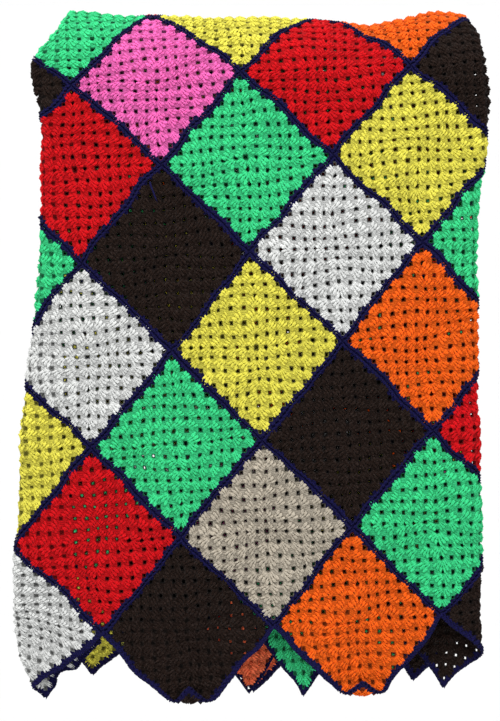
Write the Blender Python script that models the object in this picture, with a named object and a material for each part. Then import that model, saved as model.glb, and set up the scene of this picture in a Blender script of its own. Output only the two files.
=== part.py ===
"""A granny square blanket, folded lengthwise in three and hung over a broad round support that isn't built.

The cloth is one sheet of 83 squares set on point. It is described in flat hanging coordinates: p runs
across to the right and q runs down the front from the crest, so the back drop has a negative q. The
function drape() carries (p, q) round the two side folds and over the bend at the top.
"""

import math

import bpy
import numpy as np
from mathutils import Vector
from mathutils.geometry import delaunay_2d_cdt

# The squares, in metres. A place in the lattice is (column, row), each step half a square's diagonal.
DIAGONAL_ACROSS = 0.2014
DIAGONAL_DOWN = 0.2200
LEAN = 0.056  # rows climb and columns drift to the right by this slope
CENTRE_COLUMN = 3
CENTRE_P, CENTRE_Q = -0.0251, 0.005  # where the lattice place (3, 0) hangs
FIRST_COLUMN, LAST_COLUMN = -1, 11
FIRST_ROW, LAST_ROW = -8, 8
SIDE_TIP_ROW = -7  # the first row whose squares reach the side edges

# The sheet
THICKNESS = 0.004
TIP_CUT = 0.07  # the share of an edge that a blunt tip or notch takes
EDGE_STEP = 0.055  # the longest run between points on the zigzag edge

# The gaps of the crochet
RING_HALF = 0.0040  # half the diagonal of the ring in the middle of a square
SPACE_HALF = 0.0031  # half the diagonal of a corner space of the first round
SPACE_OUT = 0.0145  # from the middle of the square to a corner space

# The bend at the top and the two side folds
BEND_RADIUS = 0.083
BEND_STEPS = 14
RIGHT_RADIUS, RIGHT_STEPS = 0.012, 5
LEFT_RADIUS, LEFT_STEPS = 0.0065, 4
FLAP_SAG = 0.006  # how much further back the right flap lies per metre from its fold
FLAP_LOWER, BACK_FLAP_LIFT = 0.002, 0.036  # how much lower in front, or higher at the back, its hem hangs
FLAP_REACH = 0.05  # how far from the fold it does so in full
FLAP_SLANT = 0.155  # how far the right flap's hem lies to the right, per metre from its fold
FLAP_SLIP_START, FLAP_SLIP_FULL = 0.30, 0.80  # from where to where, down the drop, both of these grow
BACK_SHARE = 0.996  # the back drop hangs less stretched than the front
BACK_SWING, BACK_SWING_ROWS = 0.030, (0.10, 0.85)  # how far its hem swings to the left, and from where

# The side folds, by distance down from the crest
FOLD_ROWS = (
    # q, left edge, right edge
    (-0.850, -0.226, 0.266),
    (-0.640, -0.250, 0.264),
    (-0.400, -0.256, 0.262),
    (-0.150, -0.254, 0.270),
    (-0.070, -0.240, 0.262),
    (0.000, -0.228, 0.252),
    (0.070, -0.242, 0.264),
    (0.111, -0.267, 0.270),
    (0.157, -0.258, 0.274),
    (0.200, -0.253, 0.270),
    (0.263, -0.254, 0.263),
    (0.405, -0.262, 0.260),
    (0.511, -0.275, 0.261),
    (0.653, -0.282, 0.265),
    (0.735, -0.286, 0.264),
    (0.800, -0.282, 0.265),
    (0.850, -0.261, 0.266),
)

# How far the crest stands out or sinks, across the blanket
CREST_ROWS = (
    # x, lift
    (-0.260, 0.002),
    (-0.215, 0.006),
    (-0.170, 0.003),
    (-0.100, 0.000),
    (0.030, -0.001),
    (0.090, -0.006),
    (0.135, -0.009),
    (0.175, -0.002),
    (0.215, 0.006),
    (0.265, 0.003),
)
CREST_REACH = 0.085  # how far down from the crest the lift fades

# Soft waves of the two drops
WAVE_ROWS = (
    # height, length across, phase, turn per metre down
    (0.0034, 0.330, 0.4, 1.6),
    (0.0018, 0.190, 2.1, -3.0),
    (0.0011, 0.110, 4.0, 5.5),
)
WAVE_START, WAVE_FULL = 0.10, 0.42

# Places where the front hem and the back hem are drawn up
HEM_LIFT_ROWS = (
    # p, half width, lift
    (-0.283, 0.070, 0.040),
    (0.330, 0.065, 0.022),
)
BACK_HEM_LIFT_ROWS = (
    (-0.200, 0.070, 0.010),
    (0.235, 0.075, 0.028),
)
HEM_LIFT_START, HEM_LIFT_FULL = 0.69, 0.87

# Hem tips that curl up in front, by column of the lattice
CURL_ROWS = (
    # column, curled length, radius, turn
    (2, 0.031, 0.0060, 2.90),
    (4, 0.028, 0.0058, 2.75),
)
CURL_STEPS = 4

# The support points
FRONT_STEPS = 11
FLAP_STEP = 0.052
DROP_STEP = 0.052
KEEP_OFF = 0.005  # how near a support point may come to an edge or a gap
DIFFERENCE = 0.0004  # the step for slopes of the draped surface


def curve_through(rows, column, at):
    """The smooth curve through a table's rows, read at these values of its first column."""
    table = np.array(rows)
    knots, values = table[:, 0], table[:, column]
    slopes = np.gradient(values, knots)
    at = np.clip(at, knots[0], knots[-1])
    k = np.clip(np.searchsorted(knots, at, side="right") - 1, 0, len(knots) - 2)
    span = knots[k + 1] - knots[k]
    t = (at - knots[k]) / span
    rise = values[k] * (1 + 2 * t) + slopes[k] * span * t
    fall = values[k + 1] * (3 - 2 * t) + slopes[k + 1] * span * (t - 1)
    return rise * (1 - t) ** 2 + fall * t**2


def ease(value, start, full):
    """0 up to start, 1 from full on, and smooth between."""
    t = np.clip((value - start) / (full - start), 0, 1)
    return t * t * (3 - 2 * t)


def hung(column, row):
    """(p, q) of a place in the lattice of squares."""
    across = DIAGONAL_ACROSS * (np.asarray(column, float) - CENTRE_COLUMN) / 2
    down = DIAGONAL_DOWN * np.asarray(row, float) / 2
    return CENTRE_P + across + LEAN * down, CENTRE_Q + down - LEAN * across


def fold_starts(q):
    """The p at which the left and the right fold begin, and where the sheet stops being the front panel."""
    left = curve_through(FOLD_ROWS, 1, q) + LEFT_RADIUS
    right = curve_through(FOLD_ROWS, 2, q) - RIGHT_RADIUS
    return left, right


def folded(past, radius):
    """(way out, depth behind the panel, way back) of cloth this far past the start of a fold."""
    turn = np.clip(past / radius, 0, math.pi)
    back = np.maximum(past - math.pi * radius, 0)
    return radius * np.sin(turn) - back, radius * (1 - np.cos(turn)), back


def drawn_up(p, q, rows):
    """q after the drawn-up places of a hem."""
    share = ease(q, HEM_LIFT_START, HEM_LIFT_FULL)
    for place, half_width, lift in rows:
        q = q - lift * share * np.exp(-(((p - place) / half_width) ** 2))
    return q


def outward(x, q):
    """How far the front or back surface stands out from its even form."""
    crest = curve_through(CREST_ROWS, 1, x) * np.exp(-((q / CREST_REACH) ** 2))
    share = ease(np.abs(q), WAVE_START, WAVE_FULL)
    waves = sum(
        height * np.sin(2 * math.pi * x / length + phase + turn * q)
        for height, length, phase, turn in WAVE_ROWS
    )
    return crest + share * waves


def curled(p, q):
    """(q, distance in front) after the hem tips are curled up."""
    front = np.zeros_like(q)
    for column, length, radius, turn in CURL_ROWS:
        tip_p, tip_q = hung(column, LAST_ROW)
        start = tip_q - length
        near = np.abs(p - tip_p) < 2 * length
        past = np.where(near, np.maximum(q - start, 0), 0)
        angle = np.minimum(past / radius, turn)
        free = past - angle * radius
        down = radius * np.sin(angle) + free * math.cos(turn)
        out = radius * (1 - np.cos(angle)) + free * math.sin(turn)
        q = np.where(past > 0, start + down, q)
        front = front + out
    return q, front


def drape(p, q):
    """The hung place of the sheet's middle surface at (p, q)."""
    p, q = np.asarray(p, float), np.asarray(q, float)
    back_q = -drawn_up(p, -BACK_SHARE * q, BACK_HEM_LIFT_ROWS)
    q = np.where(q < 0, back_q, drawn_up(p, q, HEM_LIFT_ROWS))
    p = p - BACK_SWING * ease(-q, *BACK_SWING_ROWS)
    left, right = fold_starts(q)
    right_out, right_depth, right_back = folded(np.maximum(p - right, 0), RIGHT_RADIUS)
    left_out, left_depth, _ = folded(np.maximum(left - p, 0), LEFT_RADIUS)
    slip = ease(np.abs(q), FLAP_SLIP_START, FLAP_SLIP_FULL)
    x = np.clip(p, left, right) + right_out - left_out + FLAP_SLANT * slip * right_back
    depth = right_depth + left_depth + FLAP_SAG * right_back
    q, front = curled(p, q)
    q = q + np.where(q > 0, FLAP_LOWER, BACK_FLAP_LIFT) * slip * ease(right_back, 0, FLAP_REACH)
    depth = depth - outward(x, q) - front
    angle = np.clip(q / BEND_RADIUS, -math.pi / 2, math.pi / 2)
    straight = np.abs(q - angle * BEND_RADIUS)
    radius = BEND_RADIUS - depth
    y = -radius * np.sin(angle)
    z = radius * np.cos(angle) - BEND_RADIUS - straight - THICKNESS / 2
    return np.stack([x, y, z], axis=-1)


def outward_normals(p, q):
    """Unit normals of the draped surface, pointing out on the front panel."""
    across = drape(p + DIFFERENCE, q) - drape(p - DIFFERENCE, q)
    down = drape(p, q + DIFFERENCE) - drape(p, q - DIFFERENCE)
    normals = np.cross(down, across)
    return normals / np.linalg.norm(normals, axis=-1, keepdims=True)


def zigzag():
    """The lattice places round the blanket's edge, from the back hem's left corner."""
    back = [(c, FIRST_ROW + (c % 2)) for c in range(FIRST_COLUMN, LAST_COLUMN + 1)]
    right = [(LAST_COLUMN - (r + 1) % 2, r) for r in range(SIDE_TIP_ROW + 1, LAST_ROW)]
    front = [(c, LAST_ROW - (c % 2)) for c in range(LAST_COLUMN - 1, FIRST_COLUMN - 1, -1)]
    left = [(FIRST_COLUMN + (r + 1) % 2, r) for r in range(LAST_ROW - 2, SIDE_TIP_ROW, -1)]
    return back + right + front + left


def edge_points():
    """(p, q) round the edge, with blunt tips and notches and no long runs."""
    corners = [np.array(hung(*place)) for place in zigzag()]
    points = []
    for here, ahead in zip(corners, corners[1:] + corners[:1]):
        start = here + TIP_CUT * (ahead - here)
        end = ahead - TIP_CUT * (ahead - here)
        steps = math.ceil(np.linalg.norm(end - start) / EDGE_STEP)
        points += [start + (end - start) * k / steps for k in range(steps + 1)]
    return points


def square_centres():
    """The lattice places of the middles of all the squares."""
    return [
        (c, r)
        for r in range(FIRST_ROW + 1, LAST_ROW)
        for c in range(FIRST_COLUMN + 1, LAST_COLUMN)
        if (c + r) % 2
    ]


def gap_outlines():
    """The (p, q) outlines of the gaps cut through: every ring, and the front panel's corner spaces."""
    outlines = []
    for column, row in square_centres():
        p, q = hung(column, row)
        left, right = fold_starts(q)
        clear_of_folds = left + 2 * SPACE_OUT < p < right - 2 * SPACE_OUT
        spots = [(p, q, RING_HALF)]
        if row > 0 and clear_of_folds:
            spots += [(p + i * SPACE_OUT, q + j * SPACE_OUT, SPACE_HALF)
                      for i, j in ((1, 0), (0, 1), (-1, 0), (0, -1))]
        for x, y, half in spots:
            outlines.append([np.array((x + i * half, y + j * half))
                             for i, j in ((1, 0), (0, 1), (-1, 0), (0, -1))])
    return outlines


def drop_levels():
    """The q of each row of support points, close together round the bend."""
    quarter = BEND_RADIUS * math.pi / 2
    bend = np.linspace(-quarter, quarter, BEND_STEPS + 1)
    low = hung(CENTRE_COLUMN, LAST_ROW)[1] + DROP_STEP
    high = hung(CENTRE_COLUMN, FIRST_ROW)[1] - DROP_STEP
    front = np.linspace(quarter, low, math.ceil((low - quarter) / DROP_STEP) + 1)[1:]
    back = np.linspace(high, -quarter, math.ceil((-quarter - high) / DROP_STEP) + 1)[:-1]
    return np.concatenate([back, bend, front])


def level_points(q):
    """(p, whether it is on a side fold) of each support point at this level."""
    left, right = fold_starts(q)
    left_end = left - math.pi * LEFT_RADIUS
    right_end = right + math.pi * RIGHT_RADIUS
    first, last = hung(FIRST_COLUMN, 0)[0] - FLAP_STEP, hung(LAST_COLUMN, 0)[0] + 2 * FLAP_STEP
    flap_b = np.linspace(first, left_end, round((left_end - first) / FLAP_STEP) + 1)[:-1]
    fold_b = np.linspace(left_end, left, LEFT_STEPS + 1)
    panel = np.linspace(left, right, FRONT_STEPS + 1)[1:-1]
    fold_a = np.linspace(right, right_end, RIGHT_STEPS + 1)
    flap_a = np.linspace(right_end, last, round((last - right_end) / FLAP_STEP) + 1)[1:]
    stretches = ((flap_b, False), (fold_b, True), (panel, False), (fold_a, True), (flap_a, False))
    return [(p, on_fold) for places, on_fold in stretches for p in places]


def inside(point, outline):
    """Whether a point lies inside a closed outline."""
    x, y = point
    ends = np.roll(outline, -1, axis=0)
    crosses = (outline[:, 1] > y) != (ends[:, 1] > y)
    with np.errstate(divide="ignore", invalid="ignore"):
        slope = (ends[:, 0] - outline[:, 0]) / (ends[:, 1] - outline[:, 1])
        at = outline[:, 0] + (y - outline[:, 1]) * slope
    return bool(np.count_nonzero(crosses & (x < at)) % 2)


def distance_to(point, outline):
    """How far a point is from a closed outline."""
    ends = np.roll(outline, -1, axis=0)
    along = ends - outline
    t = ((point - outline) * along).sum(axis=1) / (along**2).sum(axis=1)
    nearest = outline + along * np.clip(t, 0, 1)[:, None]
    return float(np.linalg.norm(point - nearest, axis=1).min())


def flat_mesh():
    """The sheet's points and triangles in (p, q), with its gaps left out."""
    outline = np.array(edge_points())
    gaps = [np.array(gap) for gap in gap_outlines()]
    points, lines = [], []

    def add_loop(loop):
        first = len(points)
        points.extend(loop)
        lines.extend((first + k, first + (k + 1) % len(loop)) for k in range(len(loop)))

    add_loop(outline)
    for gap in gaps:
        add_loop(gap)
    middles = np.array([gap.mean(axis=0) for gap in gaps])

    def is_clear(place):
        if inside(place, outline) and distance_to(place, outline) < KEEP_OFF:
            return False
        near = gaps[int(np.linalg.norm(middles - place, axis=1).argmin())]
        return not inside(place, near) and distance_to(place, near) >= KEEP_OFF

    quarter = BEND_RADIUS * math.pi / 2 + KEEP_OFF
    above = {}
    for q in drop_levels():
        before, here = None, {}
        for index, (p, on_fold) in enumerate(level_points(q)):
            place = np.array((p, q))
            if not is_clear(place) or not (on_fold or inside(place, outline)):
                before = None
                continue
            points.append(place)
            here[index] = len(points) - 1
            if on_fold and index in above:
                lines.append((above[index], here[index]))
            if before is not None and abs(q) < quarter:
                lines.append((before, here[index]))
            before = here[index]
        above = here
    for column, length, radius, turn in CURL_ROWS:
        tip_p, tip_q = hung(column, LAST_ROW)
        for k in range(CURL_STEPS + 1):
            q = tip_q - length + radius * turn * k / CURL_STEPS
            half = (tip_q - q) * DIAGONAL_ACROSS / DIAGONAL_DOWN + KEEP_OFF
            points += [np.array((tip_p - half, q)), np.array((tip_p + half, q))]
            lines.append((len(points) - 2, len(points) - 1))
    found = delaunay_2d_cdt([Vector(point) for point in points], lines, [], 0, 1e-6, False)
    flat = np.array([tuple(v) for v in found[0]])
    faces = []
    for face in found[2]:
        middle = flat[list(face)].mean(axis=0)
        near = gaps[int(np.linalg.norm(middles - middle, axis=1).argmin())]
        if inside(middle, outline) and not inside(middle, near):
            faces.append(tuple(face))
    used = sorted({index for face in faces for index in face})
    renumbered = {old: new for new, old in enumerate(used)}
    return flat[used], [tuple(renumbered[index] for index in face) for face in faces]


def rim_edges(faces):
    """The directed edges that only one triangle uses."""
    edges = {(face[k], face[(k + 1) % 3]) for face in faces for k in range(3)}
    return [edge for edge in edges if (edge[1], edge[0]) not in edges]


def sheet_mesh(flat, faces):
    """The closed mesh of the sheet: its outer and inner faces and the walls between them."""
    middle = drape(flat[:, 0], flat[:, 1])
    normals = outward_normals(flat[:, 0], flat[:, 1])
    outer = middle + normals * THICKNESS / 2
    inner = middle - normals * THICKNESS / 2
    count = len(flat)
    polygons = [(a, c, b) for a, b, c in faces]
    polygons += [(a + count, b + count, c + count) for a, b, c in faces]
    for a, b in sorted(rim_edges(faces)):
        polygons += [(a, b, b + count), (a, b + count, a + count)]
    mesh = bpy.data.meshes.new("blanket")
    mesh.from_pydata(np.concatenate([outer, inner]).tolist(), [], polygons)
    mesh.validate()
    return mesh


def yarn_material():
    """The plain material of the whole blanket."""
    material = bpy.data.materials.new("wool_yarn")
    material.use_nodes = True
    shader = material.node_tree.nodes["Principled BSDF"]
    shader.inputs["Base Color"].default_value = (0.03, 0.35, 0.14, 1.0)
    shader.inputs["Roughness"].default_value = 0.9
    shader.inputs["Metallic"].default_value = 0.0
    return material


def build_blanket():
    """Adds the blanket to the scene."""
    flat, faces = flat_mesh()
    mesh = sheet_mesh(flat, faces)
    mesh.materials.append(yarn_material())
    blanket = bpy.data.objects.new("blanket", mesh)
    bpy.context.scene.collection.objects.link(blanket)
    mesh.shade_smooth()
    mesh.set_sharp_from_angle(angle=math.radians(40))
    return blanket


def main():
    for old in list(bpy.data.objects):
        bpy.data.objects.remove(old)
    build_blanket()


main()
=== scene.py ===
"""The finish of a granny square blanket that hangs folded lengthwise in three.

The stitches are laid out in the flat cloth, where u and v run along the sides of the squares, and are
then carried onto the hung form by the same sizes as the solid's.
"""

import math

import bpy
import numpy as np
from bpy.props import FloatProperty, FloatVectorProperty, IntProperty, PointerProperty
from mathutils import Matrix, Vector


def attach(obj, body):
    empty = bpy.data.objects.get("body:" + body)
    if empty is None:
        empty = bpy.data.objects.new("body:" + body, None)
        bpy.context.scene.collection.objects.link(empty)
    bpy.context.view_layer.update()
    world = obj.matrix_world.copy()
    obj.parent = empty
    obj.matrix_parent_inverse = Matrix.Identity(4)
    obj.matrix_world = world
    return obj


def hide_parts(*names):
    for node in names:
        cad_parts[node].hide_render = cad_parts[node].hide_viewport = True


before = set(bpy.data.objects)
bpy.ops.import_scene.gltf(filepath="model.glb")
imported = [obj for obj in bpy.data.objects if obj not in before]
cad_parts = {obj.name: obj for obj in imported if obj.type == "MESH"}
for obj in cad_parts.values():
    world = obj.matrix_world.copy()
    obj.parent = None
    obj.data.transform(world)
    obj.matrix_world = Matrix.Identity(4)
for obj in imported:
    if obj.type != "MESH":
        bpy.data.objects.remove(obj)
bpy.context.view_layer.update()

bl_info = {
    "name": "Granny Square Blanket",
    "version": (1, 0, 0),
    "blender": (4, 5, 0),
    "location": "View3D > Sidebar > Blanket",
    "description": "Crochets the squares, joins and edging of a folded and hung blanket",
    "category": "Object",
}

# The lattice of squares on the hung form, as in the solid. A place is (column, row).
DIAGONAL_ACROSS = 0.2014
DIAGONAL_DOWN = 0.2200
LEAN = 0.056
CENTRE_COLUMN = 3
CENTRE_P, CENTRE_Q = -0.0251, 0.005
FIRST_COLUMN, LAST_COLUMN = -1, 11
FIRST_ROW, LAST_ROW = -8, 8
THICKNESS = 0.004

# The bend at the top and the side folds, as in the solid
BEND_RADIUS = 0.083
RIGHT_RADIUS = 0.012
LEFT_RADIUS = 0.0065
FLAP_SAG = 0.006
FLAP_LOWER, BACK_FLAP_LIFT = 0.002, 0.036
FLAP_REACH = 0.05
FLAP_SLANT = 0.155
FLAP_SLIP_START, FLAP_SLIP_FULL = 0.30, 0.80
BACK_SHARE = 0.996
BACK_SWING, BACK_SWING_ROWS = 0.030, (0.10, 0.85)
FOLD_ROWS = (
    # q, left edge, right edge
    (-0.850, -0.226, 0.266),
    (-0.640, -0.250, 0.264),
    (-0.400, -0.256, 0.262),
    (-0.150, -0.254, 0.270),
    (-0.070, -0.240, 0.262),
    (0.000, -0.228, 0.252),
    (0.070, -0.242, 0.264),
    (0.111, -0.267, 0.270),
    (0.157, -0.258, 0.274),
    (0.200, -0.253, 0.270),
    (0.263, -0.254, 0.263),
    (0.405, -0.262, 0.260),
    (0.511, -0.275, 0.261),
    (0.653, -0.282, 0.265),
    (0.735, -0.286, 0.264),
    (0.800, -0.282, 0.265),
    (0.850, -0.261, 0.266),
)
CREST_ROWS = (
    # x, lift
    (-0.260, 0.002),
    (-0.215, 0.006),
    (-0.170, 0.003),
    (-0.100, 0.000),
    (0.030, -0.001),
    (0.090, -0.006),
    (0.135, -0.009),
    (0.175, -0.002),
    (0.215, 0.006),
    (0.265, 0.003),
)
CREST_REACH = 0.085
WAVE_ROWS = (
    # height, length across, phase, turn per metre down
    (0.0034, 0.330, 0.4, 1.6),
    (0.0018, 0.190, 2.1, -3.0),
    (0.0011, 0.110, 4.0, 5.5),
)
WAVE_START, WAVE_FULL = 0.10, 0.42
HEM_LIFT_ROWS = (
    # p, half width, lift
    (-0.283, 0.070, 0.040),
    (0.330, 0.065, 0.022),
)
BACK_HEM_LIFT_ROWS = (
    (-0.200, 0.070, 0.010),
    (0.235, 0.075, 0.028),
)
HEM_LIFT_START, HEM_LIFT_FULL = 0.69, 0.87
CURL_ROWS = (
    # column, curled length, radius, turn
    (2, 0.031, 0.0060, 2.90),
    (4, 0.028, 0.0058, 2.75),
)
DIFFERENCE = 0.0004

# How far the squares have slipped forward over the crest
CREST_SLIP_ROWS = (
    # p, slip
    (-0.300, 0.024),
    (-0.200, 0.022),
    (-0.020, 0.011),
    (0.170, 0.014),
    (0.300, 0.015),
)
CREST_SLIP_REACH = 0.10

# The unevenness of the crochet, on top of the solid's folds
DRIFT_ROWS = (
    # sideways shift, wave number across, wave number down, phase
    (0.0016, 71.0, 33.0, 0.3),
    (0.0012, -38.0, 64.0, 2.2),
    (0.0008, 118.0, -82.0, 4.1),
)
PUCKER_ROWS = (
    # height, wave number across, wave number down, phase
    (0.0007, 58.0, 41.0, 1.1),
    (0.0006, -47.0, 77.0, 3.0),
    (0.0004, 131.0, 24.0, 5.2),
)
PILLOW = 0.0014  # how far the middle of a square stands above its joins

# One letter for each square's colour, from the back hem's row down to the front hem's
CHART = {
    -7: "RYCBGC",
    -6: "GRWPO",
    -5: "WgRyOw",
    -4: "yBrGo",
    -3: "gPwRBy",
    -2: "RoYgW",
    -1: "yRGBgo",
    0: "GYOwR",
    1: "BPRBgy",
    2: "RGYoG",
    3: "GBWGRy",
    4: "WYOBy",
    5: "YGBRwy",
    6: "RSGYP",
    7: "WBOBGB",
}
ROUNDS = 7
GAP_DEPTH = 0.0028  # the thickness of the yarn round a gap
THROUGH = 0.5  # the share of a gap's size that is open all the way
# Painted shade of the ground: darker than the stitches, and darker still on the rims and floors of the gaps,
# where shade falls
GROUND_SHADE, RIM_SHADE, DEEP_SHADE = 0.35, -0.55, -0.95
CLOSED_CREST = 0.045  # the distance from the crest in which the gaps are pulled shut
CLOSED_BACK_ROW = -6  # the back drop's gaps are pulled shut from this row to its hem
BARE_HEM_SQUARE = (6, 7)  # the square of the flap's hem through whose gaps light comes
NAVY_COUNT = 26  # the navy stitches along one side of a square
NAVY_PITCH = 0.0062  # the length that a navy stitch covers before it is stretched
NAVY_INSET, EDGING_OUTSIDE = 0.0022, 0.0003
NAVY_JITTER = (0.10, 0.10)  # of a stitch's turn and size
FAN_JITTER = (0.20, 0.12)
INNER_FAN = (0.0045, 0.0021, 0.35)  # reach over the next round, flare of the outer posts, taper
OUTER_FAN = (0.0050, 0.0013, 0.80)
LOOSE_END = (
    # p, q, height on the cloth, thickness from its middle, painted shade (darker where the end leaves the
    # join)
    (-0.1251, 0.2546, 0.0020, 0.0011, 0.5),
    (-0.1239, 0.2593, 0.0048, 0.0011, 0.7),
    (-0.1215, 0.2652, 0.0056, 0.0010, 0.9),
    (-0.1192, 0.2711, 0.0052, 0.0009, 1.0),
    (-0.1168, 0.2758, 0.0044, 0.0006, 1.0),
)

# The camera and the floor
PIXEL = 0.00118  # the size of one pixel of the photo on the front drop
MIDDLE_X, MIDDLE_Z = -0.0083, -0.417
CAMERA_AWAY = 2.6
PHOTO_HEIGHT = 721
SENSOR = 36.0
FLOOR_Z = -3.2
GAP_SHIFT = 0.0014  # how far the gaps lie inside the lines between the rounds


def curve_through(rows, column, at):
    """The smooth curve through a table's rows, read at these values of its first column."""
    table = np.array(rows)
    knots, values = table[:, 0], table[:, column]
    slopes = np.gradient(values, knots)
    at = np.clip(at, knots[0], knots[-1])
    k = np.clip(np.searchsorted(knots, at, side="right") - 1, 0, len(knots) - 2)
    span = knots[k + 1] - knots[k]
    t = (at - knots[k]) / span
    rise = values[k] * (1 + 2 * t) + slopes[k] * span * t
    fall = values[k + 1] * (3 - 2 * t) + slopes[k + 1] * span * (t - 1)
    return rise * (1 - t) ** 2 + fall * t**2


def ease(value, start, full):
    """0 up to start, 1 from full on, and smooth between."""
    t = np.clip((value - start) / (full - start), 0, 1)
    return t * t * (3 - 2 * t)


def hung(column, row):
    """(p, q) of a place in the lattice of squares."""
    across = DIAGONAL_ACROSS * (np.asarray(column, float) - CENTRE_COLUMN) / 2
    down = DIAGONAL_DOWN * np.asarray(row, float) / 2
    return CENTRE_P + across + LEAN * down, CENTRE_Q + down - LEAN * across


def fold_starts(q):
    """The p at which the left and the right fold begin."""
    left = curve_through(FOLD_ROWS, 1, q) + LEFT_RADIUS
    right = curve_through(FOLD_ROWS, 2, q) - RIGHT_RADIUS
    return left, right


def folded(past, radius):
    """(way out, depth behind the panel, way back) of cloth this far past the start of a fold."""
    turn = np.clip(past / radius, 0, math.pi)
    back = np.maximum(past - math.pi * radius, 0)
    return radius * np.sin(turn) - back, radius * (1 - np.cos(turn)), back


def drawn_up(p, q, rows):
    """q after the drawn-up places of a hem."""
    share = ease(q, HEM_LIFT_START, HEM_LIFT_FULL)
    for place, half_width, lift in rows:
        q = q - lift * share * np.exp(-(((p - place) / half_width) ** 2))
    return q


def outward(x, q):
    """How far the front or back surface stands out from its even form."""
    crest = curve_through(CREST_ROWS, 1, x) * np.exp(-((q / CREST_REACH) ** 2))
    share = ease(np.abs(q), WAVE_START, WAVE_FULL)
    waves = sum(
        height * np.sin(2 * math.pi * x / length + phase + turn * q)
        for height, length, phase, turn in WAVE_ROWS
    )
    return crest + share * waves


def curled(p, q):
    """(q, distance in front) after the hem tips are curled up."""
    front = np.zeros_like(q)
    for column, length, radius, turn in CURL_ROWS:
        tip_p, tip_q = hung(column, LAST_ROW)
        start = tip_q - length
        near = np.abs(p - tip_p) < 2 * length
        past = np.where(near, np.maximum(q - start, 0), 0)
        angle = np.minimum(past / radius, turn)
        free = past - angle * radius
        down = radius * np.sin(angle) + free * math.cos(turn)
        out = radius * (1 - np.cos(angle)) + free * math.sin(turn)
        q = np.where(past > 0, start + down, q)
        front = front + out
    return q, front


def drape(p, q):
    """The hung place of the cloth's middle surface at (p, q)."""
    back_q = -drawn_up(p, -BACK_SHARE * q, BACK_HEM_LIFT_ROWS)
    q = np.where(q < 0, back_q, drawn_up(p, q, HEM_LIFT_ROWS))
    p = p - BACK_SWING * ease(-q, *BACK_SWING_ROWS)
    left, right = fold_starts(q)
    right_out, right_depth, right_back = folded(np.maximum(p - right, 0), RIGHT_RADIUS)
    left_out, left_depth, _ = folded(np.maximum(left - p, 0), LEFT_RADIUS)
    slip = ease(np.abs(q), FLAP_SLIP_START, FLAP_SLIP_FULL)
    x = np.clip(p, left, right) + right_out - left_out + FLAP_SLANT * slip * right_back
    depth = right_depth + left_depth + FLAP_SAG * right_back
    q, front = curled(p, q)
    q = q + np.where(q > 0, FLAP_LOWER, BACK_FLAP_LIFT) * slip * ease(right_back, 0, FLAP_REACH)
    depth = depth - outward(x, q) - front
    angle = np.clip(q / BEND_RADIUS, -math.pi / 2, math.pi / 2)
    straight = np.abs(q - angle * BEND_RADIUS)
    radius = BEND_RADIUS - depth
    y = -radius * np.sin(angle)
    z = radius * np.cos(angle) - BEND_RADIUS - straight - THICKNESS / 2
    return np.stack([x, y, z], axis=-1)


def side():
    """The side of a square."""
    return bpy.context.scene.blanket_sizes.square_side


def to_flat(column, row):
    """(u, v) of a place in the lattice, along the sides of the squares."""
    return side() * (column + row) / 2, side() * (row - column) / 2


def to_hung(u, v):
    """(p, q) of places in the flat cloth, with the crochet's own drift."""
    p, q = hung((u - v) / side(), (u + v) / side())
    drift = sum(a * np.sin(k * p + m * q + phase) for a, k, m, phase in DRIFT_ROWS)
    slip = sum(a * np.cos(m * p - k * q + phase) for a, k, m, phase in DRIFT_ROWS)
    forward = curve_through(CREST_SLIP_ROWS, 1, p) * np.exp(-(((q - 0.045) / CREST_SLIP_REACH) ** 2))
    return p + drift, q + slip + forward


def hang(flat):
    """Points of the flat cloth (u, v, height) carried onto the hung form."""
    u, v, height = flat.T
    p, q = to_hung(u, v)
    across = drape(p + DIFFERENCE, q) - drape(p - DIFFERENCE, q)
    down = drape(p, q + DIFFERENCE) - drape(p, q - DIFFERENCE)
    normals = np.cross(down, across)
    normals /= np.linalg.norm(normals, axis=1, keepdims=True)
    pucker = sum(a * np.sin(k * p + m * q + phase) for a, k, m, phase in PUCKER_ROWS)
    pillow = PILLOW * np.cos(math.pi * u / side()) ** 2 * np.cos(math.pi * v / side()) ** 2
    return drape(p, q) + normals * (height + pucker + pillow)[:, None]


# Squares


def squares():
    """(column, row, colour letter) of every square."""
    for row, letters in CHART.items():
        first = FIRST_COLUMN + 1 + (row % 2 == 0)
        for k, letter in enumerate(letters):
            yield first + 2 * k, row, letter.upper() if letter != "c" else "C"


def zone_of(u, v):
    """Which part of the folded blanket a place belongs to: front, back, hem or flap."""
    p, q = to_hung(np.float64(u), np.float64(v))
    left, right = fold_starts(q)
    if left - 2 * LEFT_RADIUS < p < right + 2.2 * RIGHT_RADIUS:
        return "front" if q > -0.02 else "back"
    return "hem" if q > 0.60 else "flap"


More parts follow.
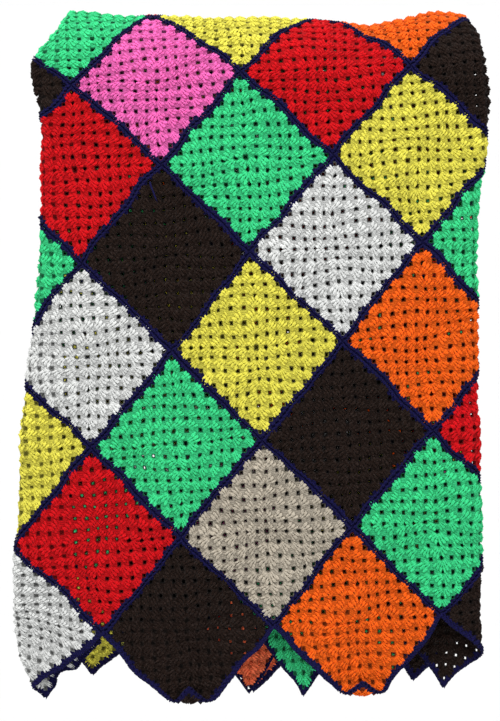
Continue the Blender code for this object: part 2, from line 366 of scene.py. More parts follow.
def strand(points, radii, sides, painted_shades):
    """(vertices, faces, uvs, painted shades) of one tapered strand that ends in a point."""
    points = np.array(points)
    along = np.gradient(points, axis=0)
    along /= np.linalg.norm(along, axis=1, keepdims=True)
    across = np.cross(along, (0, 0, 1.0))
    across /= np.linalg.norm(across, axis=1, keepdims=True)
    up = np.cross(across, along)
    vertices, faces, uvs = [], [], []
    rings = len(points) - 1
    for k in range(rings):
        for s in range(sides):
            angle = 2 * math.pi * (s + 0.5 * (k % 2)) / sides
            vertices.append(points[k] + radii[k] * (math.cos(angle) * across[k] + math.sin(angle) * up[k]))
    vertices.append(points[-1])
    for k in range(rings - 1):
        for s in range(sides):
            a, b = k * sides + s, k * sides + (s + 1) % sides
            c, d = a + sides, b + sides
            faces += [(a, b, c), (b, d, c)]
            above = s + (-0.5 if k % 2 else 0.5)
            uvs.append(((s, k), (s + 1, k), (above, k + 1)))
            uvs.append(((s + 1, k), (above + 1, k + 1), (above, k + 1)))
    last = (rings - 1) * sides
    for s in range(sides):
        faces.append((last + s, last + (s + 1) % sides, rings * sides))
        uvs.append(((s, rings - 1), (s + 1, rings - 1), (s + 0.5, rings)))
    faces.append(tuple(reversed(range(sides))))
    uvs.append(tuple((s, 0) for s in reversed(range(sides))))
    shade = [painted_shades[k] for k in range(rings) for _ in range(sides)] + [painted_shades[-1]]
    scale = np.array((1 / sides, 1 / rings))
    return vertices, faces, [tuple(np.array(uv) * scale) for face in uvs for uv in face], shade


def mesh_of(name, strands):
    """One mesh of several strands, with a UV map and a painted shade for each point."""
    vertices, faces, uvs, shades = [], [], [], []
    for more, more_faces, more_uvs, more_shades in strands:
        faces += [tuple(i + len(vertices) for i in face) for face in more_faces]
        vertices += list(more)
        uvs += more_uvs
        shades += more_shades
    mesh = bpy.data.meshes.new(name)
    mesh.from_pydata([tuple(v) for v in vertices], [], faces)
    layer = mesh.uv_layers.new(name="UVMap")
    layer.data.foreach_set("uv", np.array(uvs, np.float32).ravel())
    mesh.attributes.new("shade", "FLOAT", "POINT").data.foreach_set("value", np.array(shades, np.float32))
    return mesh


def fan(name, steps, sides, twin, overhang, flare, taper, face_side):
    """The mesh of one group of three stitches, which stands on its base and spreads along +Y."""
    sizes = bpy.context.scene.blanket_sizes
    height, thick = sizes.round_height, sizes.strand_radius
    strands = []
    for post in (-1, 0, 1):
        for turn in (-1, 1) if twin else (0,):
            points, radii, painted_shades = [], [], []
            for k in range(steps + 1):
                f = k / steps
                wind = 1.3 * math.pi * f + 0.6 * post
                splay = turn * 0.0009 * ease(f, 0.6, 1.0)
                spread = 0.0023 + flare * ease(f, 0.0, 0.9)
                x = post * spread + turn * 0.0009 * math.cos(wind) + splay
                y = 0.0014 + (height + overhang - 0.0014 - 0.6 * (0.0021 - flare) * abs(post)) * f
                lean = turn * 0.0008 * math.sin(wind)
                z = -0.0003 + 0.0016 * math.sin(math.pi * min(f, 0.75)) + lean - 0.0006 * abs(post)
                points.append((x, y, z * face_side))
                full = 1.0 if twin else 1.4
                belly = 0.80 + 0.30 * math.sin(math.pi * min(f * 1.15, 1))
                radii.append(thick * full * belly * (1 - taper * ease(f, 0.7, 1)))
                # Painted shade: each strand is painted darker towards its root in the ground
                painted_shades.append(0.66 + 0.34 * ease(f, 0.0, 0.45))
            strands.append(strand(points, radii, sides, painted_shades))
    return mesh_of(name, strands)


def border_stitch(name, steps, sides):
    """The mesh of one slanting stitch of the navy rounds, which lies along +X."""
    points, radii, painted_shades = [], [], []
    for k in range(steps + 1):
        f = k / steps
        points.append((-0.0042 + 0.0088 * f, -0.0012 + 0.0026 * f, 0.0004 + 0.0013 * math.sin(math.pi * f)))
        radii.append(0.0019 * (0.6 + 0.4 * math.sin(math.pi * min(f + 0.15, 1))))
        # Painted shade: the stitch is painted darker towards its start
        painted_shades.append(0.4 + 0.6 * f)
    return mesh_of(name, [strand(points, radii, sides, painted_shades)])


# Geometry Nodes


def stitch_tree():
    """The tree that sets one stitch on each point, turned and sized by the point's own values."""
    tree = bpy.data.node_groups.new("Set stitches", "GeometryNodeTree")
    face = tree.interface
    face.new_socket("Geometry", in_out="INPUT", socket_type="NodeSocketGeometry")
    face.new_socket("Stitch", in_out="INPUT", socket_type="NodeSocketObject")
    face.new_socket("Turn jitter", in_out="INPUT", socket_type="NodeSocketFloat").default_value = 0.1
    face.new_socket("Size jitter", in_out="INPUT", socket_type="NodeSocketFloat").default_value = 0.08
    face.new_socket("Seed", in_out="INPUT", socket_type="NodeSocketInt").default_value = 1
    face.new_socket("Material", in_out="INPUT", socket_type="NodeSocketMaterial")
    face.new_socket("Geometry", in_out="OUTPUT", socket_type="NodeSocketGeometry")
    nodes, link = tree.nodes, tree.links.new
    given = nodes.new("NodeGroupInput")
    result = nodes.new("NodeGroupOutput")
    info = nodes.new("GeometryNodeObjectInfo")
    link(given.outputs["Stitch"], info.inputs["Object"])

    def named(attribute, kind):
        node = nodes.new("GeometryNodeInputNamedAttribute")
        node.data_type = kind
        node.inputs["Name"].default_value = attribute
        return node.outputs["Attribute"]

    def random_value(kind, seed_step):
        node = nodes.new("FunctionNodeRandomValue")
        node.data_type = kind
        shifted = nodes.new("ShaderNodeMath")
        shifted.operation = "ADD"
        shifted.inputs[1].default_value = seed_step
        link(given.outputs["Seed"], shifted.inputs[0])
        link(shifted.outputs[0], node.inputs["Seed"])
        return node

    def scaled(value, factor):
        node = nodes.new("ShaderNodeMath")
        node.operation = "MULTIPLY"
        link(value, node.inputs[0])
        link(factor, node.inputs[1])
        return node.outputs[0]

    swing = random_value("FLOAT", 0)
    swing.inputs[2].default_value, swing.inputs[3].default_value = -1.0, 1.0
    turned = nodes.new("ShaderNodeMath")
    link(named("turn", "FLOAT"), turned.inputs[0])
    link(scaled(swing.outputs[1], given.outputs["Turn jitter"]), turned.inputs[1])
    euler = nodes.new("ShaderNodeCombineXYZ")
    link(turned.outputs[0], euler.inputs["Z"])

    change = random_value("FLOAT_VECTOR", 7)
    change.inputs[0].default_value, change.inputs[1].default_value = (-1, -1, -1), (1, 1, 1)
    change_scaled = nodes.new("ShaderNodeVectorMath")
    change_scaled.operation = "SCALE"
    link(change.outputs[0], change_scaled.inputs[0])
    link(given.outputs["Size jitter"], change_scaled.inputs["Scale"])
    grown = nodes.new("ShaderNodeVectorMath")
    grown.inputs[1].default_value = (1, 1, 1)
    link(change_scaled.outputs[0], grown.inputs[0])
    sized = nodes.new("ShaderNodeVectorMath")
    sized.operation = "MULTIPLY"
    link(grown.outputs[0], sized.inputs[0])
    link(named("stretch", "FLOAT_VECTOR"), sized.inputs[1])

    place = nodes.new("GeometryNodeInstanceOnPoints")
    link(given.outputs["Geometry"], place.inputs["Points"])
    link(info.outputs["Geometry"], place.inputs["Instance"])
    link(euler.outputs[0], place.inputs["Rotation"])
    link(sized.outputs[0], place.inputs["Scale"])

    tone = random_value("FLOAT", 13)
    store = nodes.new("GeometryNodeStoreNamedAttribute")
    store.domain = "INSTANCE"
    store.data_type = "FLOAT"
    store.inputs["Name"].default_value = "tone"
    link(place.outputs["Instances"], store.inputs["Geometry"])
    link(tone.outputs[1], store.inputs["Value"])

    realize = nodes.new("GeometryNodeRealizeInstances")
    link(store.outputs["Geometry"], realize.inputs["Geometry"])
    paint = nodes.new("GeometryNodeSetMaterial")
    link(realize.outputs["Geometry"], paint.inputs["Geometry"])
    link(given.outputs["Material"], paint.inputs["Material"])
    link(paint.outputs["Geometry"], result.inputs["Geometry"])
    return tree


def tree_once(name, make):
    """The node group of this name, made the first time it is asked for."""
    return bpy.data.node_groups.get(name) or make()


def set_input(modifier, name, value):
    """Sets a modifier's input by its socket's identifier."""
    for item in modifier.node_group.interface.items_tree:
        if item.item_type == "SOCKET" and item.in_out == "INPUT" and item.name == name:
            modifier[item.identifier] = value


def stitched(name, places, turns, stretches, template, material, turn_jitter, size_jitter, seed):
    """A finished piece: the template set on each flat place, made a plain mesh and hung."""
    points = bpy.data.meshes.new(name + "_points")
    points.from_pydata([(u, v, 0.0) for u, v in places], [], [])
    points.attributes.new("turn", "FLOAT", "POINT").data.foreach_set("value", np.array(turns, np.float32))
    stretch = points.attributes.new("stretch", "FLOAT_VECTOR", "POINT")
    stretch.data.foreach_set("vector", np.array(stretches, np.float32).ravel())
    holder = bpy.data.objects.new(name + "_points", points)
    stitch = bpy.data.objects.new(name + "_stitch", template)
    bpy.context.scene.collection.objects.link(holder)
    bpy.context.scene.collection.objects.link(stitch)
    modifier = holder.modifiers.new("Set stitches", "NODES")
    modifier.node_group = tree_once("Set stitches", stitch_tree)
    set_input(modifier, "Stitch", stitch)
    set_input(modifier, "Turn jitter", turn_jitter)
    set_input(modifier, "Size jitter", size_jitter)
    set_input(modifier, "Seed", seed)
    set_input(modifier, "Material", material)
    graph = bpy.context.evaluated_depsgraph_get()
    mesh = bpy.data.meshes.new_from_object(holder.evaluated_get(graph), depsgraph=graph)
    mesh.name = name
    bpy.data.objects.remove(holder)
    bpy.data.objects.remove(stitch)
    return finished(name, mesh, material)


def finished(name, mesh, material):
    """Hangs a flat mesh and makes it a piece of the blanket."""
    flat = np.zeros(len(mesh.vertices) * 3)
    mesh.vertices.foreach_get("co", flat)
    mesh.vertices.foreach_set("co", hang(flat.reshape(-1, 3)).ravel())
    mesh.update()
    mesh.shade_smooth()
    if not mesh.materials:
        mesh.materials.append(material)
    piece = bpy.data.objects.new(name, mesh)
    bpy.context.scene.collection.objects.link(piece)
    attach(piece, "root")
    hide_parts("blanket")
    return piece


# Materials


def yarn_group():
    """The shader group of plied yarn: colour, roughness and height over the surface."""
    group = bpy.data.node_groups.new("Plied yarn", "ShaderNodeTree")
    face = group.interface
    face.new_socket("Colour", in_out="INPUT", socket_type="NodeSocketColor")
    face.new_socket("Fleck", in_out="INPUT", socket_type="NodeSocketColor")
    face.new_socket("Fleck amount", in_out="INPUT", socket_type="NodeSocketFloat")
    face.new_socket("Plies", in_out="INPUT", socket_type="NodeSocketFloat").default_value = 5.0
    face.new_socket("Colour", in_out="OUTPUT", socket_type="NodeSocketColor")
    face.new_socket("Roughness", in_out="OUTPUT", socket_type="NodeSocketFloat")
    face.new_socket("Height", in_out="OUTPUT", socket_type="NodeSocketFloat")
    nodes, link = group.nodes, group.links.new
    given, result = nodes.new("NodeGroupInput"), nodes.new("NodeGroupOutput")
    coords = nodes.new("ShaderNodeTexCoord")
    uv = nodes.new("ShaderNodeUVMap")
    uv.uv_map = "UVMap"

    def math_node(kind, a, b):
        node = nodes.new("ShaderNodeMath")
        node.operation = kind
        for socket, value in zip(node.inputs, (a, b)):
            if isinstance(value, float):
                socket.default_value = value
            else:
                link(value, socket)
        return node.outputs[0]

    split = nodes.new("ShaderNodeSeparateXYZ")
    link(uv.outputs["UV"], split.inputs[0])
    around = math_node("MULTIPLY", split.outputs["X"], 2.0)
    along = math_node("MULTIPLY", split.outputs["Y"], given.outputs["Plies"])
    slant = math_node("ADD", around, along)
    ply = math_node("SINE", math_node("MULTIPLY", slant, 2 * math.pi), 0.0)
    fuzz = nodes.new("ShaderNodeTexNoise")
    fuzz.inputs["Scale"].default_value = 1400.0
    fuzz.inputs["Detail"].default_value = 3.0
    link(coords.outputs["Object"], fuzz.inputs["Vector"])
    patch = nodes.new("ShaderNodeTexNoise")
    patch.inputs["Scale"].default_value = 26.0
    link(coords.outputs["Object"], patch.inputs["Vector"])
    rough = math_node("MULTIPLY", fuzz.outputs["Fac"], 0.9)
    height = math_node("ADD", math_node("MULTIPLY", ply, 0.6), rough)
    link(height, result.inputs["Height"])

    tone, shade = nodes.new("ShaderNodeAttribute"), nodes.new("ShaderNodeAttribute")
    tone.attribute_name, shade.attribute_name = "tone", "shade"
    bright = math_node("MULTIPLY", tone.outputs["Fac"], 0.16)
    # Painted shade: the shade attribute darkens the yarn at the stitches' roots, on the ground and in the
    # gaps
    bright = math_node("ADD", bright, math_node("MULTIPLY", shade.outputs["Fac"], 0.42))
    # Painted light and shade along the ply twist: lighter on the plies, darker in the grooves between them
    bright = math_node("ADD", bright, math_node("MULTIPLY", ply, 0.13))
    tuft = nodes.new("ShaderNodeTexNoise")
    tuft.inputs["Scale"].default_value = 520.0
    tuft.inputs["Detail"].default_value = 2.0
    link(coords.outputs["Object"], tuft.inputs["Vector"])
    bright = math_node("ADD", bright, math_node("MULTIPLY", tuft.outputs["Fac"], 0.5))
    bright = math_node("ADD", bright, math_node("MULTIPLY", fuzz.outputs["Fac"], 0.22))
    bright = math_node("ADD", bright, math_node("MULTIPLY", patch.outputs["Fac"], 0.14))
    bright = math_node("ADD", bright, 0.08)
    base = nodes.new("ShaderNodeMix")
    base.data_type, base.blend_type = "RGBA", "MULTIPLY"
    base.inputs[0].default_value = 1.0
    link(given.outputs["Colour"], base.inputs[6])
    link(bright, base.inputs[7])
    speck = nodes.new("ShaderNodeTexNoise")
    speck.inputs["Scale"].default_value = 420.0
    speck.inputs["Detail"].default_value = 1.0
    link(coords.outputs["Object"], speck.inputs["Vector"])
    mask = nodes.new("ShaderNodeMapRange")
    mask.inputs["From Min"].default_value, mask.inputs["From Max"].default_value = 0.52, 0.68
    link(speck.outputs["Fac"], mask.inputs["Value"])
    flecked = nodes.new("ShaderNodeMix")
    flecked.data_type = "RGBA"
    link(math_node("MULTIPLY", mask.outputs["Result"], given.outputs["Fleck amount"]), flecked.inputs[0])
    link(base.outputs[2], flecked.inputs[6])
    link(given.outputs["Fleck"], flecked.inputs[7])
    link(flecked.outputs[2], result.inputs["Colour"])
    link(math_node("ADD", math_node("MULTIPLY", fuzz.outputs["Fac"], 0.2), 0.72), result.inputs["Roughness"])
    return group


def yarn_material(name, colour, fleck, fleck_amount, sheen):
    """Dyed yarn of one colour."""
    made = bpy.data.materials.get(name)
    if made:
        return made
    made = bpy.data.materials.new(name)
    made.use_nodes = True
    nodes, link = made.node_tree.nodes, made.node_tree.links.new
    shader = nodes["Principled BSDF"]
    shader.inputs["Sheen Weight"].default_value = sheen
    shader.inputs["Sheen Roughness"].default_value = 0.55
    shader.inputs["Specular IOR Level"].default_value = 0.06
    yarn = nodes.new("ShaderNodeGroup")
    yarn.node_tree = tree_once("Plied yarn", yarn_group)
    yarn.inputs["Colour"].default_value = (*colour, 1)
    yarn.inputs["Fleck"].default_value = (*fleck, 1)
    yarn.inputs["Fleck amount"].default_value = fleck_amount
    bump = nodes.new("ShaderNodeBump")
    bump.inputs["Strength"].default_value = 0.6
    bump.inputs["Distance"].default_value = 0.0009
    link(yarn.outputs["Colour"], shader.inputs["Base Color"])
    link(yarn.outputs["Roughness"], shader.inputs["Roughness"])
    link(yarn.outputs["Height"], bump.inputs["Height"])
    link(bump.outputs["Normal"], shader.inputs["Normal"])
    return made


# The letter of the chart, the name and the property of each colour, with its flecks' share
YARNS = {
    "G": ("green", 0.0),
    "R": ("red", 0.0),
    "P": ("pink", 0.0),
    "Y": ("yellow", 0.0),
    "O": ("orange", 0.0),
    "W": ("white", 0.0),
    "S": ("beige", 0.10),
    "B": ("brown", 0.35),
    "C": ("coral", 0.0),
    "N": ("navy", 0.0),
}


def yarn_of(letter):
    """The material of a colour's yarn."""
    name, fleck_amount = YARNS[letter]
    colour = tuple(getattr(bpy.context.scene.blanket_colours, name))
    fleck = tuple(min(1.0, 2.4 * c + 0.02) for c in colour)
    return yarn_material(name + "_yarn", colour, fleck, fleck_amount, 0.02)


# Settings, operators and the panel


def colour_of(name, value):
    """A colour property of one yarn."""
    return FloatVectorProperty(
        name=name.capitalize(), description=f"Colour of the {name} yarn", subtype="COLOR",
        size=3, min=0.0, max=1.0, default=value,
    )


class BlanketSizes(bpy.types.PropertyGroup):
    """The sizes of the crochet."""

    square_side: FloatProperty(
        name="Square side", description="Side of a square with its navy round, laid flat",
        default=0.150, unit="LENGTH",
    )
    round_height: FloatProperty(
        name="Round height", description="Height of one round of stitches", default=0.0100, unit="LENGTH",
    )
    strand_radius: FloatProperty(
        name="Strand radius", description="Half the thickness of one strand of a stitch",
        default=0.00150, unit="LENGTH",
    )
    gap_half: FloatProperty(
        name="Gap", description="Half the diagonal of a gap in the ground", default=0.0036, unit="LENGTH",
    )
    seed: IntProperty(name="Seed", description="Seed of the stitches' unevenness", default=11)


class BlanketColours(bpy.types.PropertyGroup):
    """The colours of the yarns."""

    green: colour_of("green", (0.045, 0.62, 0.24))
    red: colour_of("red", (0.58, 0.005, 0.009))
    pink: colour_of("pink", (0.82, 0.14, 0.46))
    yellow: colour_of("yellow", (0.72, 0.665, 0.085))
    orange: colour_of("orange", (0.82, 0.12, 0.008))
    white: colour_of("white", (0.67, 0.68, 0.67))
    beige: colour_of("beige", (0.44, 0.39, 0.315))
    brown: colour_of("brown", (0.013, 0.0065, 0.0045))
    coral: colour_of("coral", (0.95, 0.19, 0.08))
    navy: colour_of("navy", (0.008, 0.007, 0.062))


def fan_places():
    """(u, v, turn, stretch, letter, round) of every group of stitches."""
    height = bpy.context.scene.blanket_sizes.round_height
    for column, row, letter in squares():
        u, v = to_flat(column, row)
        for number in range(1, ROUNDS + 1):
            base = (number - 1) * height
            for quarter in range(4):
                turn = quarter * math.pi / 2
                out = np.array((-math.sin(turn), math.cos(turn)))
                along = np.array((math.cos(turn), math.sin(turn)))
                for group in range(number):
                    t = (2 * group - (number - 1)) * height
                    start = base if number > 1 else 0.32 * height
                    place = np.array((u, v)) + out * start + along * t
                    tall = 1.0 if number > 1 else 0.68
                    yield place[0], place[1], turn, (1.0, tall, 1.0), letter, number


def crochet(zones, suffix, steps, sides, twin, face_side=1):
    """Crochets the squares of these zones, one piece for each colour."""
    sizes = bpy.context.scene.blanket_sizes
    sorted_places = {}
    for u, v, turn, stretch, letter, number in fan_places():
        if zone_of(u, v) in zones:
            key = (letter, number == ROUNDS)
            sorted_places.setdefault(key, []).append((u, v, turn, stretch))
    inner = fan("fan" + suffix, steps, sides, twin, *INNER_FAN, face_side)
    outer = fan("outer_fan" + suffix, steps, sides, twin, *OUTER_FAN, face_side)
    pieces = []
    for letter in YARNS:
        for last_round, template in ((False, inner), (True, outer)):
            rows = sorted_places.get((letter, last_round))
            if not rows:
                continue
            name = YARNS[letter][0] + ("_edge_fans" if last_round else "_fans") + suffix
            places = [row[:2] for row in rows]
            turns = [row[2] for row in rows]
            stretches = [row[3] for row in rows]
            pieces.append(stitched(
                name, places, turns, stretches, template, yarn_of(letter), *FAN_JITTER, sizes.seed,
            ))
    return pieces


class BLANKET_OT_ground(bpy.types.Operator):
    """Lays the open ground of the cloth, on which the stitches stand"""

    bl_idname = "blanket.ground"
    bl_label = "Ground"

    def execute(self, context):
        ground_piece()
        return {"FINISHED"}


def ground_lines():
    """The lattice lines of a square from its middle: the rounds' and the outer edge's."""
    sizes = bpy.context.scene.blanket_sizes
    inner = [k * sizes.round_height for k in range(-ROUNDS, ROUNDS + 1)]
    return [-sizes.square_side / 2] + inner + [sizes.square_side / 2]


def to_lattice(p, q):
    """The column and row of a place in hanging coordinates."""
    along, below = p - CENTRE_P, q - CENTRE_Q
    down = (below + LEAN * along) / (1 + LEAN**2)
    return CENTRE_COLUMN + 2 * (along - LEAN * down) / DIAGONAL_ACROSS, 2 * down / DIAGONAL_DOWN


def in_cloth(p, q):
    """Whether a place in hanging coordinates lies inside the cloth's zigzag outline."""
    column, row = to_lattice(p, q)
    a, b = math.floor((column + row) / 2) + 0.5, math.floor((row - column) / 2) + 0.5
    return FIRST_COLUMN < a - b < LAST_COLUMN and FIRST_ROW < a + b < LAST_ROW


def backed(u, v):
    """Whether a place of the front panel has the back drop behind it."""
    p, q = to_hung(np.float64(u), np.float64(v))
    x, z = p, math.pi / 2 * BEND_RADIUS - BEND_RADIUS - q
    further = 1 + 2 * BEND_RADIUS / CAMERA_AWAY
    x, z = MIDDLE_X + (x - MIDDLE_X) * further, MIDDLE_Z + (z - MIDDLE_Z) * further
    back_q = z + BEND_RADIUS - math.pi / 2 * BEND_RADIUS
    back_left, _ = fold_starts(back_q)
    on_back = x + BACK_SWING * ease(-back_q, *BACK_SWING_ROWS)
    return x > back_left and in_cloth(on_back, back_q - 0.012)


def is_open(u, v, square):
    """Whether the ground has its gaps at this place."""
    zone = zone_of(u, v)
    if abs(to_hung(u, v)[1]) < CLOSED_CREST:
        return False
    if zone == "back":
        return square[1] > CLOSED_BACK_ROW
    return zone == "front" and backed(u, v) or zone == "hem" and square == BARE_HEM_SQUARE


def ground_piece():
    """The cloth's ground: one open sheet with a gap at every second crossing of the rounds."""
    sizes = bpy.context.scene.blanket_sizes
    draw = np.random.default_rng(sizes.seed)
    lines = ground_lines()
    last = len(lines) - 1
    middle = last // 2
    index_of, vertices, faces, letters, shades = {}, [], [], [], []

    def vertex(u, v):
        key = (round(u * 1e6), round(v * 1e6))
        if key not in index_of:
            index_of[key] = len(vertices)
            vertices.append((u, v, 0.0))
            shades.append(GROUND_SHADE)
        return index_of[key]

    for column, row, letter in squares():
        u0, v0 = to_flat(column, row)
        gaps = {}
        for a in range(1, last):
            for b in range(1, last):
                if (a + b) % 2 == 0:
                    u, v = u0 + lines[a], v0 + lines[b]
                    is_through = is_open(u, v, (column, row))
                    size = sizes.gap_half * draw.uniform(0.82, 1.12)
                    right, up = a - middle, b - middle
                    u -= GAP_SHIFT * np.sign(right) * (abs(right) >= abs(up)) + draw.uniform(-0.0005, 0.0005)
                    v -= GAP_SHIFT * np.sign(up) * (abs(up) >= abs(right)) + draw.uniform(-0.0005, 0.0005)
                    gaps[a, b] = (u, v, size * (1.3 if a == b == middle else 1.0), is_through)
        for i in range(last):
            for j in range(last):
                loop = []
                for a, b in ((i, j), (i + 1, j), (i + 1, j + 1), (i, j + 1)):
                    if (a, b) not in gaps:
                        loop.append(vertex(u0 + lines[a], v0 + lines[b]))
                        continue
                    u, v, size, _ = gaps[a, b]
                    to_u = size if a == i else -size
                    to_v = size if b == j else -size
                    ends = [vertex(u, v + to_v), vertex(u + to_u, v)]
                    if (a == i) != (b == j):
                        ends.reverse()
                    loop += ends
                faces.append(tuple(loop))
                on_border = i in (0, last - 1) or j in (0, last - 1)
                letters.append("N" if on_border else letter)
        for u, v, size, is_through in gaps.values():
            zone = zone_of(u, v)
            if zone == "flap" or zone == "back" and is_through:
                continue
            floor = {"front": -GAP_DEPTH, "back": 0.4 * GAP_DEPTH}.get(zone, GAP_DEPTH)
            first = len(vertices)
            corners = ((1, 0), (0, 1), (-1, 0), (0, -1))
            vertices += [(u + size * x, v + size * y, 0) for x, y in corners]
            # Painted shade: the gap's rim and floor are painted darker, as the gap lies in shade
            shades += [RIM_SHADE] * 4
            if is_through:
                vertices += [(u + THROUGH * size * x, v + THROUGH * size * y, floor) for x, y in corners]
                shades += [DEEP_SHADE] * 4
                for k in range(4):
                    a, b = first + k, first + (k + 1) % 4
                    faces.append((a, b, b + 4, a + 4))
            else:
                vertices.append((u, v, floor))
                shades.append(DEEP_SHADE)
                faces += [(first + k, first + (k + 1) % 4, first + 4) for k in range(4)]
            letters += [letter] * 4
    mesh = bpy.data.meshes.new("ground")
    mesh.from_pydata(vertices, [], faces)
    mesh.uv_layers.new(name="UVMap")
    mesh.attributes.new("shade", "FLOAT", "POINT").data.foreach_set("value", np.array(shades, np.float32))
    used = sorted(set(letters))
    for letter in used:
        mesh.materials.append(yarn_of(letter))
    mesh.polygons.foreach_set("material_index", [used.index(letter) for letter in letters])
    finished("ground", mesh, yarn_of("N"))


class BLANKET_OT_front(bpy.types.Operator):
    """Crochets the squares of the front drop and of the flap's hem"""

    bl_idname = "blanket.front"
    bl_label = "Front squares"

    def execute(self, context):
        crochet(("front",), "_front", 4, 4, True)
        crochet(("hem",), "_hem", 3, 4, True, -1)
        return {"FINISHED"}


class BLANKET_OT_back(bpy.types.Operator):
    """Crochets the squares of the back drop"""

    bl_idname = "blanket.back"
    bl_label = "Back squares"

    def execute(self, context):
        crochet(("back",), "_back", 3, 3, False)
        return {"FINISHED"}


class BLANKET_OT_flaps(bpy.types.Operator):
    """Crochets the squares that are folded to the inside"""

    bl_idname = "blanket.flaps"
    bl_label = "Folded-in squares"

    def execute(self, context):
        crochet(("flap",), "_flaps", 2, 3, False)
        return {"FINISHED"}


class BLANKET_OT_joins(bpy.types.Operator):
    """Works the navy rounds that edge and join the squares"""

    bl_idname = "blanket.joins"
    bl_label = "Joins and edging"

    def execute(self, context):
        navy_rounds()
        hem_edging()
        loose_end()
        return {"FINISHED"}


def navy_rounds():
    """The navy stitches along all four sides of every square."""
    sizes = bpy.context.scene.blanket_sizes
    for zones, suffix, count, steps, sides in (
        (("front", "back", "hem"), "_outer", NAVY_COUNT, 3, 3),
        (("flap",), "_inner", 18, 3, 3),
    ):
        places, turns = [], []
        for column, row, _ in squares():
            u, v = to_flat(column, row)
            for quarter in range(4):
                turn = quarter * math.pi / 2
                out = np.array((-math.sin(turn), math.cos(turn)))
                along = np.array((math.cos(turn), math.sin(turn)))
                for k in range(count):
                    t = ((k + 0.5) / count - 0.5) * (sizes.square_side - 2 * NAVY_INSET)
                    place = np.array((u, v)) + out * (sizes.square_side / 2 - NAVY_INSET) + along * t
                    if zone_of(*place) in zones:
                        places.append(tuple(place))
                        turns.append(turn + math.pi * (quarter % 2))
        stretch = [((sizes.square_side / count) / NAVY_PITCH, 1.0, 1.0)] * len(places)
        template = border_stitch("navy_stitch" + suffix, steps, sides)
        stitched(
            "navy_rounds" + suffix, places, turns, stretch, template, yarn_of("N"), *NAVY_JITTER, sizes.seed,
        )


def hem_edging():
    """A second navy round along the zigzag hems, outside the first."""
    sizes = bpy.context.scene.blanket_sizes
    count = NAVY_COUNT
    places, turns = [], []
    for column, row, _ in squares():
        middle = np.array(to_flat(column, row))
        for quarter in range(4):
            turn = quarter * math.pi / 2
            out = np.array((-math.sin(turn), math.cos(turn)))
            along = np.array((math.cos(turn), math.sin(turn)))
            if in_cloth(*to_hung(*(middle + out * (sizes.square_side / 2 + 0.02)))):
                continue
            for k in range(count):
                t = ((k + 0.5) / count - 0.5) * sizes.square_side
                place = middle + out * (sizes.square_side / 2 + EDGING_OUTSIDE) + along * t
                if zone_of(*place) != "flap":
                    places.append(tuple(place))
                    turns.append(turn)
    stretch = [((sizes.square_side / count) / NAVY_PITCH, 1.5, 1.2)] * len(places)
    template = border_stitch("navy_stitch_edging", 3, 3)
    stitched("navy_edging", places, turns, stretch, template, yarn_of("N"), *NAVY_JITTER, sizes.seed)


def loose_end():
    """The short end of navy yarn that hangs from a join."""
    points = [(*to_flat(*to_lattice(p, q)), height) for p, q, height, _, _ in LOOSE_END]
    radii = [row[3] for row in LOOSE_END]
    painted_shades = [row[4] for row in LOOSE_END]
    mesh = mesh_of("navy_loose_end", [strand(points, radii, 5, painted_shades)])
    finished("navy_loose_end", mesh, yarn_of("N"))


class BLANKET_OT_stage(bpy.types.Operator):
    """Sets the pale floor, the studio light and the camera"""

    bl_idname = "blanket.stage"
    bl_label = "Stage"

    def execute(self, context):
        set_stage()
        return {"FINISHED"}


def lamp(name, place, target, size, power, colour):
    """A soft square light that faces its target."""
    data = bpy.data.lights.new(name, "AREA")
    data.shape, data.size, data.energy, data.color = "SQUARE", size, power, colour
    light = bpy.data.objects.new(name, data)
    light.location = place
    light.rotation_euler = (Vector(target) - Vector(place)).to_track_quat("-Z", "Y").to_euler()
    bpy.context.scene.collection.objects.link(light)


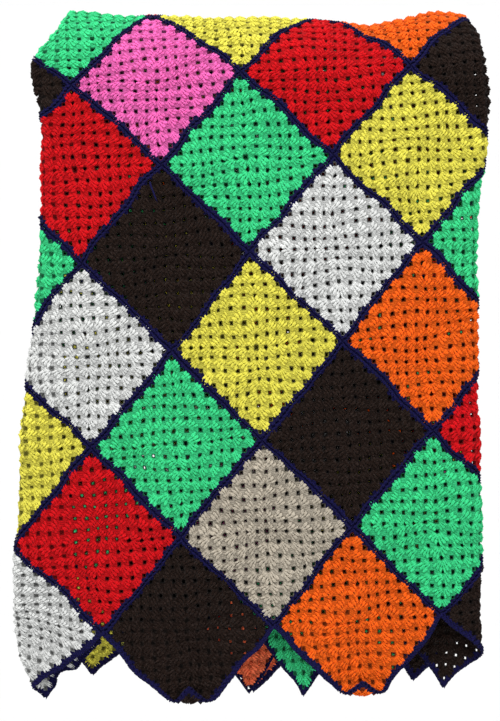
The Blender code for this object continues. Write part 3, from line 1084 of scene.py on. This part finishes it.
def set_stage():
    """A pale floor that curves up behind, soft lights and the camera."""
    depth, width, rise, bend = 12.0, 30.0, 14.0, 4.0
    profile = [(-9.0, 0.0), (depth - bend, 0.0)]
    profile += [(depth - bend + bend * math.sin(a), bend - bend * math.cos(a))
                for a in np.linspace(0, math.pi / 2, 13)[1:]]
    profile.append((depth, rise))
    vertices = [(x, y, FLOOR_Z + z) for y, z in profile for x in (-width / 2, width / 2)]
    faces = [(2 * k, 2 * k + 1, 2 * k + 3, 2 * k + 2) for k in range(len(profile) - 1)]
    mesh = bpy.data.meshes.new("floor")
    mesh.from_pydata(vertices, [], faces)
    mesh.shade_smooth()
    material = bpy.data.materials.new("pale_floor")
    material.use_nodes = True
    shader = material.node_tree.nodes["Principled BSDF"]
    shader.inputs["Base Color"].default_value = (0.97, 0.97, 0.97, 1)
    shader.inputs["Roughness"].default_value = 0.9
    mesh.materials.append(material)
    floor = bpy.data.objects.new("floor", mesh)
    bpy.context.scene.collection.objects.link(floor)

    world = bpy.data.worlds.new("studio")
    world.use_nodes = True
    world.node_tree.nodes["Background"].inputs["Color"].default_value = (1, 1, 1, 1)
    world.node_tree.nodes["Background"].inputs["Strength"].default_value = 1.02
    bpy.context.scene.world = world
    bpy.context.scene.view_settings.view_transform = "Standard"
    middle = (0, 0, MIDDLE_Z)
    lamp("key", (-0.9, -2.2, 1.8), middle, 1.5, 44.0, (1.0, 0.99, 0.97))
    lamp("fill", (1.9, -2.2, 0.2), middle, 2.0, 8.0, (0.97, 0.98, 1.0))
    lamp("top", (-0.3, -0.7, 1.5), (0, 0, -0.1), 1.2, 11.0, (1.0, 1.0, 1.0))
    lamp("behind", (0.4, 2.4, 1.2), middle, 1.8, 18.0, (1.0, 1.0, 1.0))

    data = bpy.data.cameras.new("camera")
    data.sensor_width = SENSOR
    data.lens = SENSOR * CAMERA_AWAY / (PHOTO_HEIGHT * PIXEL)
    camera = bpy.data.objects.new("camera", data)
    camera.location = (MIDDLE_X, -BEND_RADIUS - CAMERA_AWAY, MIDDLE_Z)
    camera.rotation_euler = (math.pi / 2, 0, 0)
    bpy.context.scene.collection.objects.link(camera)
    bpy.context.scene.camera = camera


class BLANKET_PT_panel(bpy.types.Panel):
    """Lists the steps of the blanket"""

    bl_idname = "BLANKET_PT_panel"
    bl_label = "Blanket"
    bl_space_type = "VIEW_3D"
    bl_region_type = "UI"
    bl_category = "Blanket"

    def draw(self, context):
        for name in BlanketSizes.__annotations__:
            self.layout.prop(context.scene.blanket_sizes, name)
        for name in BlanketColours.__annotations__:
            self.layout.prop(context.scene.blanket_colours, name)
        for operator in OPERATORS:
            self.layout.operator(operator.bl_idname)


OPERATORS = (
    BLANKET_OT_ground,
    BLANKET_OT_front,
    BLANKET_OT_back,
    BLANKET_OT_flaps,
    BLANKET_OT_joins,
    BLANKET_OT_stage,
)
CLASSES = (BlanketSizes, BlanketColours) + OPERATORS + (BLANKET_PT_panel,)


def register():
    for cls in CLASSES:
        bpy.utils.register_class(cls)
    bpy.types.Scene.blanket_sizes = PointerProperty(type=BlanketSizes)
    bpy.types.Scene.blanket_colours = PointerProperty(type=BlanketColours)


def unregister():
    del bpy.types.Scene.blanket_colours
    del bpy.types.Scene.blanket_sizes
    for cls in reversed(CLASSES):
        bpy.utils.unregister_class(cls)


def main():
    register()
    bpy.ops.blanket.ground()
    bpy.ops.blanket.front()
    bpy.ops.blanket.back()
    bpy.ops.blanket.flaps()
    bpy.ops.blanket.joins()
    bpy.ops.blanket.stage()


if __name__ == "__main__":
    main()
